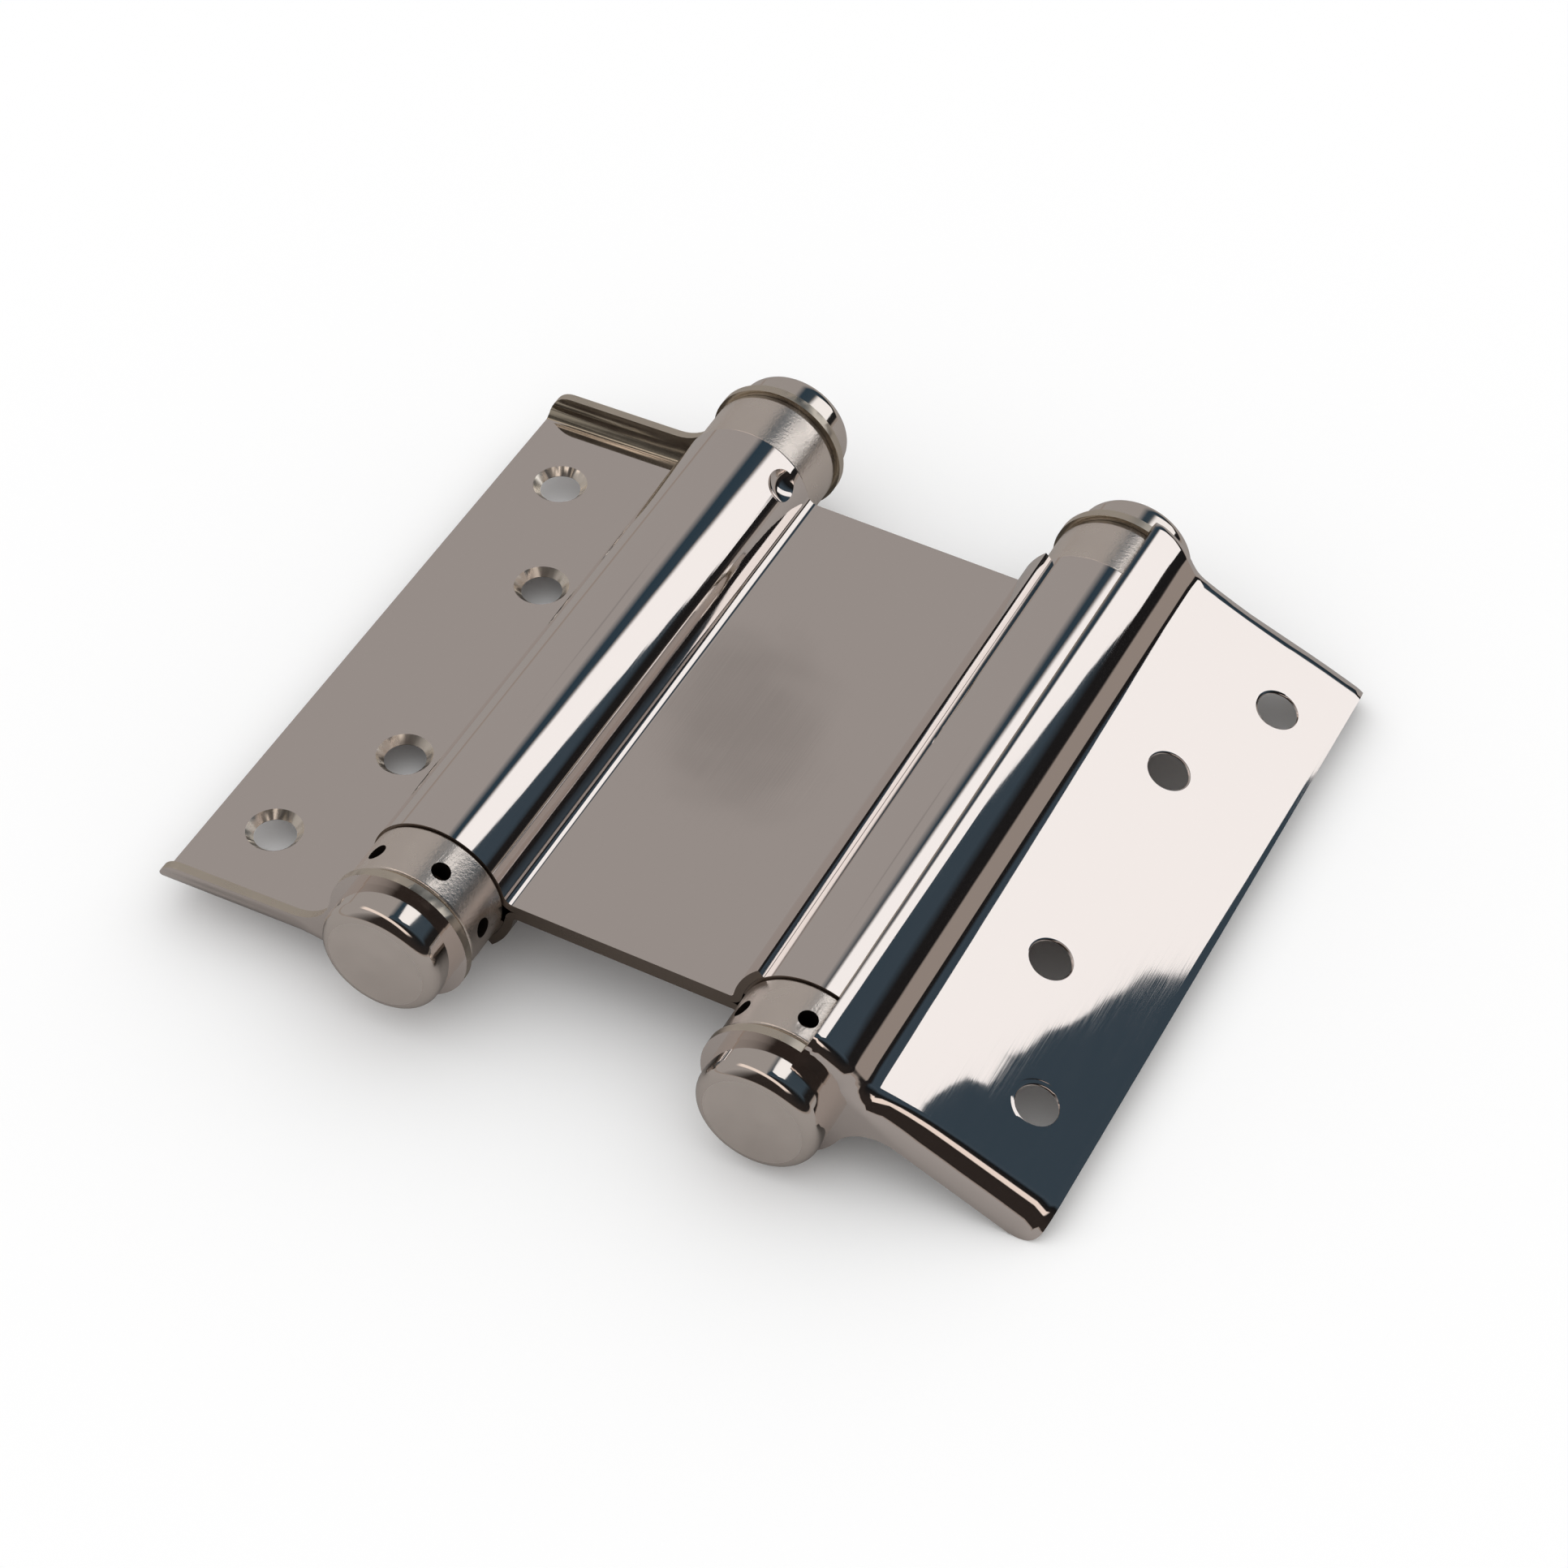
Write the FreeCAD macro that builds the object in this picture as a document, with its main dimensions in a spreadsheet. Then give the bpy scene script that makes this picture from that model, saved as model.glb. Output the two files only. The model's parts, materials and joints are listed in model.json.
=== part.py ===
import FreeCAD, Part
import math
import os
import Sketcher

# Double action spring hinge, lying open as it rests on a table.
# Each piece is drawn about its own hinge axis, which runs along Y, and is then placed:
# first at its side of the web, then with the lean that the whole hinge has at rest.

doc = FreeCAD.newDocument("cafe_hinge")
sheet = doc.addObject("Spreadsheet::Sheet", "sizes")

DRIVING = [
    ("leaf_height", 100.0, "over the outer faces of a leaf's two ears"),
    ("axis_spacing", 49.9, "between the two hinge axes"),
    ("barrel_radius", 9.16, "outside of a rolled barrel"),
    ("barrel_length", 80.6, "rim to rim, also the web's height"),
    ("web_sheet", 1.1, "thickness of each of the two web sheets"),
    ("web_fillet", 1.5, "upper radius where the web runs into its barrel"),
    ("barrel_end_angle", 345.0, "clock angle where the rolled barrel stops"),
    ("lip_end_angle", 121.0, "clock angle where the lip of a web sheet stops"),
    ("lip_bend", 0.5, "upper radius where a lip leaves the web"),
    ("seam_gap", 0.03, "between a lip and the barrel under it"),
    ("leaf_sheet", 1.2, "thickness of a leaf"),
    ("leaf_width", 34.5, "hinge axis to a leaf's outer edge"),
    ("leaf_offset", 8.2, "hinge axis to a leaf's outer face"),
    ("cover_radius", 11.8, "outside of the cover that a leaf bends round the barrel"),
    ("cover_free_angle", 88.0, "leaf angle of the cover's free edge"),
    ("cover_end_angle", 57.0, "leaf angle where the cover runs straight down to the plate"),
    ("valley_radius", 0.6, "outer radius in the valley between cover and plate"),
    ("flange_depth", 4.5, "a leaf's outer face to its flange's edge"),
    ("flange_bend", 1.9, "outer radius of the bend between plate and flange"),
    ("flange_corner", 3.0, "round of a flange's free corner"),
    ("ear_radius", 9.4, "outside of the ring that carries the spindle"),
    ("ear_fillet", 6.0, "inner round between flange and ear"),
    ("ear_step", 0.4, "inner round between ear and cover"),
    ("screw_hole", 5.4, "diameter of a screw hole"),
    ("screw_sink", 7.3, "diameter of its countersink"),
    ("outer_row", 26.3, "hinge axis to the outer screw holes"),
    ("inner_row", 18.7, "hinge axis to the inner screw holes"),
    ("outer_pitch", 72.6, "between the two outer screw holes"),
    ("inner_pitch", 35.2, "between the two inner screw holes"),
    ("collar_radius", 8.9, "outside of the collars"),
    ("rim_gap", 0.05, "between a barrel's rim and its collar"),
    ("plug_depth", 8.0, "how far the fixed collar reaches into the barrel"),
    ("turn_depth", 6.0, "how far the adjusting collar reaches into the barrel"),
    ("turn_gap", 0.06, "adjusting collar to barrel wall, and to spindle"),
    ("tommy_hole", 2.5, "diameter of a tommy bar hole"),
    ("tommy_depth", 3.6, "depth of a tommy bar hole"),
    ("tommy_inset", 3.1, "a collar's outer end to its tommy bar holes"),
    ("tommy_count", 6.0, "number of tommy bar holes"),
    ("tommy_angle_left", 8.0, "clock angle of the left collar's first hole"),
    ("tommy_angle_right", 18.6, "clock angle of the right collar's first hole"),
    ("washer_radius", 8.6, "outside of the washer between collar and ear"),
    ("washer_sheet", 0.5, "thickness of that washer"),
    ("washer_gap", 0.05, "each side of that washer"),
    ("spindle_radius", 3.5, "spindle, and the bore of an ear"),
    ("head_length", 1.8, "spindle's riveted head"),
    ("cap_radius", 8.0, "outside of an end cap"),
    ("cap_length", 5.4, "how far a cap stands off the ear"),
    ("cap_wall", 1.1, "wall of a cap"),
    ("cap_round", 0.9, "round of a cap's edge"),
    ("wire_radius", 1.2, "half of the spring wire"),
    ("coil_room", 0.66, "spring to the inside of its barrel"),
    ("coil_pitch", 3.2, "one turn of the spring"),
    ("coil_gap", 0.4, "spring to the collars, and leg to its hole"),
    ("leg_length", 3.0, "spring leg inside a collar"),
    ("stake_radius", 2.6, "ball that presses the staking dimple"),
    ("stake_depth", 0.7, "depth of the dimple in the barrel"),
    ("stake_inset", 3.9, "a barrel's rim to the dimple"),
    ("stake_angle", 70.0, "clock angle of the dimple"),
    ("droop_left", 2.2, "left leaf below the web's plane, degrees"),
    ("droop_right", 18.8, "right leaf below the web's plane, degrees"),
]
for row, (name, number, meaning) in enumerate(DRIVING, start=1):
    sheet.set(f"A{row}", name)
    sheet.set(f"B{row}", str(number))
    sheet.setAlias(f"B{row}", name)
    sheet.set(f"C{row}", meaning)
doc.recompute()


def size(text):
    # A length or an angle, worked out from the sheet's named cells.
    return float(sheet.evalExpression(text))


def bind(thing, prop, text):
    thing.setExpression(prop, text)


# Places that several pieces share, written with the sheet's names.
RIM = "(sizes.barrel_length / 2)"
EAR_OUTER = "(sizes.leaf_height / 2)"
EAR_INNER = "(sizes.leaf_height / 2 - sizes.leaf_sheet)"
COLLAR_INNER = "(sizes.barrel_length / 2 + sizes.rim_gap)"
COLLAR_FACE = f"({EAR_INNER} - sizes.washer_sheet - 2 * sizes.washer_gap)"
BARREL_BORE = "(sizes.barrel_radius - sizes.web_sheet)"
PLUG_END = "(sizes.barrel_length / 2 - sizes.plug_depth)"
TURN_END = "(sizes.barrel_length / 2 - sizes.turn_depth)"
COIL_RADIUS = f"({BARREL_BORE} - sizes.coil_room - sizes.wire_radius)"
CAP_BORE = "(sizes.cap_radius - sizes.cap_wall)"
ON_AXIS = "0"


def origin_plane(body, role):
    return next(f for f in body.Origin.OriginFeatures if f.Role == role)


def new_sketch(body, role, name):
    sketch = body.newObject("Sketcher::SketchObject", name)
    sketch.AttachmentSupport = [(origin_plane(body, role), "")]
    sketch.MapMode = "FlatFace"
    return sketch


def polar(radius, degrees, centre=(0.0, 0.0)):
    angle = math.radians(degrees)
    return (centre[0] + radius * math.cos(angle), centre[1] + radius * math.sin(angle))


def heading(start, end):
    return math.degrees(math.atan2(end[1] - start[1], end[0] - start[0]))


def point(pair):
    return FreeCAD.Vector(pair[0], pair[1], 0)


# Outlines are lists of segments: ("line", start, end), or ("arc", centre, radius, from, to) in degrees.

def segment_end(segment, last):
    if segment[0] == "line":
        return segment[2] if last else segment[1]
    _, centre, radius, first, final = segment
    return polar(radius, final if last else first, centre)


def add_segments(sketch, segments):
    for segment in segments:
        if segment[0] == "line":
            sketch.addGeometry(Part.LineSegment(point(segment[1]), point(segment[2])), False)
            continue
        _, centre, radius, first, final = segment
        low, high = sorted((math.radians(first), math.radians(final)))
        circle = Part.Circle(point(centre), FreeCAD.Vector(0, 0, 1), radius)
        sketch.addGeometry(Part.ArcOfCircle(circle, low, high), False)


def closed(segments):
    # The outline with a straight line across each opening between two segments.
    result = []
    for index, segment in enumerate(segments):
        result.append(segment)
        start = segment_end(segment, True)
        end = segment_end(segments[(index + 1) % len(segments)], False)
        if math.dist(start, end) > 1e-6:
            result.append(("line", start, end))
    return result


def beside(segments, shift):
    # The same run of segments, moved sideways: positive shifts lie to the left of its direction.
    moved = []
    for segment in segments:
        if segment[0] == "line":
            side = math.radians(heading(segment[1], segment[2]) + 90)
            step = (shift * math.cos(side), shift * math.sin(side))
            start = (segment[1][0] + step[0], segment[1][1] + step[1])
            end = (segment[2][0] + step[0], segment[2][1] + step[1])
            moved.append(("line", start, end))
            continue
        _, centre, radius, first, final = segment
        turn = -1 if final > first else 1
        moved.append(("arc", centre, radius + turn * shift, first, final))
    return moved


def backwards(segments):
    result = []
    for segment in reversed(segments):
        if segment[0] == "line":
            result.append(("line", segment[2], segment[1]))
        else:
            result.append(("arc", segment[1], segment[2], segment[4], segment[3]))
    return result


def strip(middle, thickness):
    # A bent sheet's section, from the line along the middle of its thickness.
    return closed(beside(middle, thickness / 2) + backwards(beside(middle, -thickness / 2)))


def padded(name, outline, length):
    # An outline in the XZ plane, run along Y to both sides of the middle.
    body = doc.addObject("PartDesign::Body", name)
    sketch = new_sketch(body, "XZ_Plane", name + "_section")
    add_segments(sketch, outline)
    pad = body.newObject("PartDesign::Pad", name + "_pad")
    pad.Profile = sketch
    pad.Midplane = True
    bind(pad, "Length", length)
    doc.recompute()
    return body


def turned(name, corners):
    # A profile of radius and distance along the axis, turned about Y.
    body = doc.addObject("PartDesign::Body", name)
    sketch = new_sketch(body, "XY_Plane", name + "_profile")
    places = [(size(radius), size(along)) for radius, along in corners]
    for index, place in enumerate(places):
        following = places[(index + 1) % len(places)]
        sketch.addGeometry(Part.LineSegment(point(place), point(following)), False)
    for index, (radius, along) in enumerate(corners):
        previous = (index - 1) % len(corners)
        sketch.addConstraint(Sketcher.Constraint("Coincident", previous, 2, index, 1))
        across = sketch.addConstraint(
            Sketcher.Constraint("DistanceX", -1, 1, index, 1, places[index][0]))
        if radius != ON_AXIS:
            sketch.setExpression(f"Constraints[{across}]", radius)
        up = sketch.addConstraint(
            Sketcher.Constraint("DistanceY", -1, 1, index, 1, places[index][1]))
        sketch.setExpression(f"Constraints[{up}]", along)
    turning = body.newObject("PartDesign::Revolution", name + "_turn")
    turning.Profile = sketch
    turning.ReferenceAxis = (sketch, ["V_Axis"])
    turning.Angle = 360
    doc.recompute()
    return body


def rounded(body, radius, wanted):
    # Rounds each edge of the body's last feature for which wanted(edge) is true.
    last = body.Tip
    names = [f"Edge{n}" for n, edge in enumerate(last.Shape.Edges, start=1) if wanted(edge)]
    fillet = body.newObject("PartDesign::Fillet", body.Name + "_round")
    fillet.Base = (last, names)
    bind(fillet, "Radius", radius)
    body.Tip = fillet
    doc.recompute()
    return body


def joined(name, pieces):
    fuse = doc.addObject("Part::MultiFuse", name)
    fuse.Shapes = pieces
    doc.recompute()
    return fuse


def cut(name, base, tool):
    result = doc.addObject("Part::Cut", name)
    result.Base = base
    result.Tool = tool
    doc.recompute()
    return result


def rod(name, radius, length, placement):
    cylinder = doc.addObject("Part::Cylinder", name)
    bind(cylinder, "Radius", radius)
    bind(cylinder, "Height", length)
    cylinder.Placement = placement
    return cylinder


def turn_about_y(degrees):
    # Positive angles carry X towards Z, as clock angles do when seen from the near end.
    return FreeCAD.Rotation(FreeCAD.Vector(0, 1, 0), -degrees)


def web_section():
    # The upper web sheet: lip on the right barrel, flat web, fillet and the whole left barrel.
    half = size("sizes.axis_spacing / 2")
    thickness = size("sizes.web_sheet")
    level = thickness / 2
    lip = size("sizes.barrel_radius + sizes.seam_gap + sizes.web_sheet / 2")
    bend = size("sizes.lip_bend") + level
    barrel = size("sizes.barrel_radius - sizes.web_sheet / 2")
    sweep = size("sizes.web_fillet") + level
    lip_centre = (half - math.sqrt((lip + bend) ** 2 - (level + bend) ** 2), level + bend)
    root_centre = (math.sqrt((barrel + sweep) ** 2 - (level + sweep) ** 2) - half, level + sweep)
    lip_root = heading((half, 0), lip_centre)
    barrel_root = heading((-half, 0), root_centre)
    middle = [
        ("arc", (half, 0), lip, size("sizes.lip_end_angle"), lip_root),
        ("arc", lip_centre, bend, lip_root - 180, -90),
        ("line", (lip_centre[0], level), (root_centre[0], level)),
        ("arc", root_centre, sweep, -90, barrel_root - 180),
        ("arc", (-half, 0), barrel, barrel_root, size("sizes.barrel_end_angle")),
    ]
    return strip(middle, thickness)


def web_sheet(side):
    blank = padded(f"web_blank_{side}", web_section(), "sizes.barrel_length")
    ball = doc.addObject("Part::Sphere", f"stake_ball_{side}")
    bind(ball, "Radius", "sizes.stake_radius")
    reach = size("sizes.barrel_radius - sizes.stake_depth + sizes.stake_radius")
    spot = polar(reach, size("sizes.stake_angle"), (-size("sizes.axis_spacing / 2"), 0))
    ball.Placement.Base = FreeCAD.Vector(spot[0], size(f"{RIM} - sizes.stake_inset"), spot[1])
    return cut(f"web_sheet_{side}", blank, ball)


def leaf_outer_face():
    # Outer face of a leaf from the cover's free edge to the outer edge, in the leaf's own frame.
    radius = size("sizes.cover_radius")
    free = size("sizes.cover_free_angle")
    end = size("sizes.cover_end_angle")
    level = size("sizes.leaf_offset")
    valley = size("sizes.valley_radius")
    start = polar(radius, end)
    slope = end - 90
    along = (math.cos(math.radians(slope)), math.sin(math.radians(slope)))
    # The valley's arc touches the plate's plane and the straight run down from the cover.
    rise = valley * (1 - math.cos(math.radians(slope)))
    run = (level + rise - start[1]) / along[1]
    touch = (start[0] + run * along[0], start[1] + run * along[1])
    centre = (touch[0] - valley * along[1], level + valley)
    return [
        ("arc", (0, 0), radius, free, end),
        ("line", start, touch),
        ("arc", centre, valley, slope - 90, -90),
        ("line", (centre[0], level), (size("sizes.leaf_width"), level)),
    ]


def leaf_block_outline():
    # The whole end view of a leaf: outer face, flange edge, ear and step back to the cover.
    width = size("sizes.leaf_width")
    foot = size("sizes.leaf_offset - sizes.flange_depth")
    corner = size("sizes.flange_corner")
    ear = size("sizes.ear_radius")
    fillet = size("sizes.ear_fillet")
    step = size("sizes.ear_step")
    free = size("sizes.cover_free_angle")
    fillet_centre = (math.sqrt((ear + fillet) ** 2 - (foot - fillet) ** 2), foot - fillet)
    lean = heading((0, 0), fillet_centre)
    spread = math.degrees(math.asin(step / (ear + step)))
    step_centre = polar(ear + step, free + spread)
    step_top = polar(math.sqrt((ear + step) ** 2 - step ** 2), free)
    outline = leaf_outer_face() + [
        ("arc", (width - corner, foot + corner), corner, 0, -90),
        ("line", (width - corner, foot), (fillet_centre[0], foot)),
        ("arc", fillet_centre, fillet, 90, lean + 180),
        ("arc", (0, 0), ear, lean, free + spread - 360),
        ("arc", step_centre, step, free + spread + 180, free + 270),
        ("line", step_top, polar(size("sizes.cover_radius"), free)),
    ]
    return closed(outline)


def leaf_core_outline():
    # Everything inside a leaf's sheet, with room to spare on the open sides.
    room = size("sizes.leaf_width")
    free = size("sizes.cover_free_angle")
    inner = beside(leaf_outer_face(), -size("sizes.leaf_sheet"))
    last = inner.pop()
    inner.append(("line", last[1], (last[2][0] + room, last[2][1])))
    corners = [
        (2 * room, last[2][1]),
        (2 * room, -room),
        (-room, -room),
        (-room, room),
        polar(room, free),
    ]
    walls = [("line", first, second) for first, second in zip(corners, corners[1:])]
    return closed(inner + walls)


def middle_of(segment):
    if segment[0] == "line":
        return ((segment[1][0] + segment[2][0]) / 2, (segment[1][1] + segment[2][1]) / 2)
    return polar(segment[2], (segment[3] + segment[4]) / 2, segment[1])


def on_run(segments, far):
    # True for the edges that a run of segments leaves on the two end faces at plus and minus far.
    def wanted(edge):
        if any(abs(abs(vertex.Point.y) - far) > 1e-4 for vertex in edge.Vertexes):
            return False
        ends = edge.ParameterRange
        here = edge.valueAt((ends[0] + ends[1]) / 2)
        return any(math.dist((here.x, here.z), middle_of(s)) < 1e-3 for s in segments)
    return wanted


def screw_holes(side):
    tools = []
    rows = (
        ("outer", "sizes.outer_row", "sizes.outer_pitch"),
        ("inner", "sizes.inner_row", "sizes.inner_pitch"),
    )
    for row, across, pitch in rows:
        for end, way in (("near", -1), ("far", 1)):
            tag = f"{row}_{end}_{side}"
            x = size(across)
            y = way * size(pitch) / 2
            inner_face = size("sizes.leaf_offset - sizes.leaf_sheet")
            place = FreeCAD.Placement(FreeCAD.Vector(x, y, inner_face), FreeCAD.Rotation())
            tools.append(rod("hole_" + tag, "sizes.screw_hole / 2", "sizes.leaf_sheet * 2", place))
            cone = doc.addObject("Part::Cone", "sink_" + tag)
            bind(cone, "Radius1", "sizes.screw_sink / 2")
            bind(cone, "Radius2", "sizes.screw_hole / 2")
            bind(cone, "Height", "(sizes.screw_sink - sizes.screw_hole) / 2")
            cone.Placement = place
            tools.append(cone)
    return tools


def leaf(side):
    face = leaf_outer_face()
    block = padded(f"leaf_block_{side}", leaf_block_outline(), "sizes.leaf_height")
    rounded(block, "sizes.flange_bend", on_run(face, size(EAR_OUTER)))
    core = padded(f"leaf_core_{side}", leaf_core_outline(), f"2 * {EAR_INNER}")
    inner = beside(face, -size("sizes.leaf_sheet"))
    last = inner.pop()
    inner.append(("line", last[1], (last[2][0] + size("sizes.leaf_width"), last[2][1])))
    rounded(core, "sizes.flange_bend - sizes.leaf_sheet", on_run(inner, size(EAR_INNER)))
    tray = cut(f"leaf_tray_{side}", block, core)
    start = FreeCAD.Vector(0, -size("sizes.leaf_height"), 0)
    lying = FreeCAD.Placement(start, FreeCAD.Rotation(FreeCAD.Vector(1, 0, 0), -90))
    bore = rod(f"ear_bore_{side}", "sizes.spindle_radius", "sizes.leaf_height * 2", lying)
    tools = joined(f"leaf_cuts_{side}", screw_holes(side) + [bore])
    return cut(f"leaf_{side}", tray, tools)


def leg_hole(tag, clock, along, way):
    # Hole for a spring leg, from a collar's inner end at "along", in direction way along Y.
    spot = polar(size(COIL_RADIUS), clock)
    base = FreeCAD.Vector(spot[0], size(along), spot[1])
    rotation = FreeCAD.Rotation(FreeCAD.Vector(1, 0, 0), -90 * way)
    radius = "sizes.wire_radius + sizes.coil_gap / 2"
    depth = "sizes.leg_length + sizes.coil_gap"
    return rod("leg_hole_" + tag, radius, depth, FreeCAD.Placement(base, rotation))


def coil_turns():
    room = size(f"{PLUG_END} + {TURN_END} - 2 * sizes.coil_gap - 2 * sizes.wire_radius")
    return room / round(room / size("sizes.coil_pitch")), round(room / size("sizes.coil_pitch"))


def fixed_collar(side):
    body = turned(f"fixed_blank_{side}", [
        ("sizes.spindle_radius + sizes.turn_gap", PLUG_END),
        (BARREL_BORE, PLUG_END),
        (BARREL_BORE, COLLAR_INNER),
        ("sizes.collar_radius", COLLAR_INNER),
        ("sizes.collar_radius", COLLAR_FACE),
        ("sizes.spindle_radius + sizes.turn_gap", COLLAR_FACE),
    ])
    return cut(f"fixed_collar_{side}", body, leg_hole("far_" + side, 0, PLUG_END, 1))


def adjusting_collar(side):
    body = turned(f"adjusting_blank_{side}", [
        ("sizes.spindle_radius + sizes.turn_gap", f"-{TURN_END}"),
        (f"{BARREL_BORE} - sizes.turn_gap", f"-{TURN_END}"),
        (f"{BARREL_BORE} - sizes.turn_gap", f"-{COLLAR_INNER}"),
        ("sizes.collar_radius", f"-{COLLAR_INNER}"),
        ("sizes.collar_radius", f"-{COLLAR_FACE}"),
        ("sizes.spindle_radius + sizes.turn_gap", f"-{COLLAR_FACE}"),
    ])
    tools = [leg_hole("near_" + side, 0, f"-{TURN_END}", -1)]
    count = int(size("sizes.tommy_count"))
    first = size(f"sizes.tommy_angle_{side}")
    for index in range(count):
        clock = first + 360 * index / count
        spot = polar(size("sizes.collar_radius - sizes.tommy_depth"), clock)
        base = FreeCAD.Vector(spot[0], -size(f"{COLLAR_FACE} - sizes.tommy_inset"), spot[1])
        rotation = FreeCAD.Rotation(FreeCAD.Vector(0, 0, 1), FreeCAD.Vector(spot[0], 0, spot[1]))
        place = FreeCAD.Placement(base, rotation)
        name = f"tommy_{side}_{index}"
        tools.append(rod(name, "sizes.tommy_hole / 2", "sizes.tommy_depth * 2", place))
    return cut(f"adjusting_collar_{side}", body, joined(f"adjusting_cuts_{side}", tools))


def spindle(side):
    shaft = "sizes.spindle_radius"
    head_end = f"{EAR_OUTER} + sizes.head_length"
    return turned(f"spindle_{side}", [
        (ON_AXIS, f"-({head_end})"),
        (CAP_BORE, f"-({head_end})"),
        (CAP_BORE, f"-{EAR_OUTER}"),
        (shaft, f"-{EAR_OUTER}"),
        (shaft, EAR_OUTER),
        (CAP_BORE, EAR_OUTER),
        (CAP_BORE, head_end),
        (ON_AXIS, head_end),
    ])


def end_cap(side, end, way):
    base = f"{way} * {EAR_OUTER}"
    inside = f"{way} * ({EAR_OUTER} + sizes.cap_length - sizes.cap_wall)"
    outside = f"{way} * ({EAR_OUTER} + sizes.cap_length)"
    body = turned(f"cap_{side}_{end}", [
        (CAP_BORE, base),
        ("sizes.cap_radius", base),
        ("sizes.cap_radius", outside),
        (ON_AXIS, outside),
        (ON_AXIS, inside),
        (CAP_BORE, inside),
    ])
    face = size(outside)
    radius = size("sizes.cap_radius")

    def rim(edge):
        curve = edge.Curve
        round_edge = isinstance(curve, Part.Circle) and abs(curve.Radius - radius) < 1e-4
        return round_edge and abs(curve.Center.y - face) < 1e-4
    return rounded(body, "sizes.cap_round", rim)


def washer(side, end, way):
    inner = f"{way} * ({COLLAR_FACE} + sizes.washer_gap)"
    outer = f"{way} * ({EAR_INNER} - sizes.washer_gap)"
    return turned(f"washer_{side}_{end}", [
        ("sizes.spindle_radius", inner),
        ("sizes.washer_radius", inner),
        ("sizes.washer_radius", outer),
        ("sizes.spindle_radius", outer),
    ])


def spring(side):
    # A coil along Y whose first and last turns end in legs that lie along the axis.
    pitch, turns = coil_turns()
    near = -size(f"{TURN_END} - sizes.coil_gap - sizes.wire_radius")
    far = near + pitch * turns
    helix = doc.addObject("Part::Helix", f"coil_path_{side}")
    helix.Pitch = pitch
    helix.Height = pitch * turns
    bind(helix, "Radius", COIL_RADIUS)
    ring = doc.addObject("Part::Circle", f"wire_ring_{side}")
    bind(ring, "Radius", "sizes.wire_radius")
    start = FreeCAD.Vector(size(COIL_RADIUS), 0, 0)
    ring.Placement = FreeCAD.Placement(start, FreeCAD.Rotation(FreeCAD.Vector(1, 0, 0), 90))
    doc.recompute()
    coil = doc.addObject("Part::Sweep", f"coil_{side}")
    coil.Sections = [ring]
    coil.Spine = (helix, ["Edge1"])
    coil.Solid = True
    coil.Frenet = True
    coil.Placement = FreeCAD.Placement(
        FreeCAD.Vector(0, near, 0), FreeCAD.Rotation(FreeCAD.Vector(1, 0, 0), -90))
    doc.recompute()
    parts = [coil]
    reach = "sizes.leg_length + sizes.coil_gap + sizes.wire_radius"
    for end, along, way in (("near", near, -1), ("far", far, 1)):
        base = FreeCAD.Vector(size(COIL_RADIUS), along, 0)
        parts.append(rod(
            f"leg_{side}_{end}", "sizes.wire_radius", reach,
            FreeCAD.Placement(base, FreeCAD.Rotation(FreeCAD.Vector(1, 0, 0), -90 * way))))
        knee = doc.addObject("Part::Sphere", f"knee_{side}_{end}")
        bind(knee, "Radius", "sizes.wire_radius")
        knee.Placement.Base = base
        parts.append(knee)
    return joined(f"spring_{side}", parts)


# How the hinge lies: on the left leaf's cover and on the right leaf's ears.
half_spacing = size("sizes.axis_spacing / 2")
height_change = size("(sizes.cover_radius - sizes.ear_radius) / sizes.axis_spacing")
lean = math.degrees(math.asin(height_change))
lying = FreeCAD.Placement(FreeCAD.Vector(0, 0, 0), turn_about_y(-lean))
at_left = FreeCAD.Placement(FreeCAD.Vector(-half_spacing, 0, 0), FreeCAD.Rotation())
at_right = FreeCAD.Placement(FreeCAD.Vector(half_spacing, 0, 0), FreeCAD.Rotation())
leaf_turn = {
    "left": FreeCAD.Placement(FreeCAD.Vector(), turn_about_y(180 + size("sizes.droop_left"))),
    "right": FreeCAD.Placement(FreeCAD.Vector(), turn_about_y(-size("sizes.droop_right"))),
}
half_turn = FreeCAD.Placement(FreeCAD.Vector(), turn_about_y(180))

pieces = {}
places = {}
for side, axis in (("left", at_left), ("right", at_right)):
    made = {
        f"leaf_{side}": leaf(side),
        f"spindle_{side}": spindle(side),
        f"fixed_collar_{side}": fixed_collar(side),
        f"adjusting_collar_{side}": adjusting_collar(side),
        f"spring_{side}": spring(side),
    }
    for end, way in (("near", -1), ("far", 1)):
        made[f"cap_{side}_{end}"] = end_cap(side, end, way)
        made[f"washer_{side}_{end}"] = washer(side, end, way)
    for name in made:
        places[name] = lying * axis
    places[f"leaf_{side}"] = lying * axis * leaf_turn[side]
    pieces.update(made)
    pieces[f"web_sheet_{side}"] = web_sheet(side)
places["web_sheet_left"] = lying
places["web_sheet_right"] = lying * half_turn

for name, piece in pieces.items():
    piece.Label = name
    piece.Placement = places[name]
doc.recompute()

for thing in doc.Objects:
    if "Invalid" in thing.State or "Error" in thing.State:
        raise RuntimeError(f"{thing.Name} failed: {thing.State}")
for name, piece in pieces.items():
    if piece.Shape.isNull() or not piece.Shape.isValid() or len(piece.Shape.Solids) != 1:
        raise RuntimeError(f"{name} isn't one valid solid")

# The origin is the middle of the box round the hinge, at the level that it lies on.
boxes = [piece.Shape.optimalBoundingBox(False) for piece in pieces.values()]
middle_x = (min(box.XMin for box in boxes) + max(box.XMax for box in boxes)) / 2
middle_y = (min(box.YMin for box in boxes) + max(box.YMax for box in boxes)) / 2
shift = FreeCAD.Placement(
    FreeCAD.Vector(-middle_x, -middle_y, -min(box.ZMin for box in boxes)), FreeCAD.Rotation())
for name, piece in pieces.items():
    piece.Placement = shift * places[name]
doc.recompute()

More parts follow.
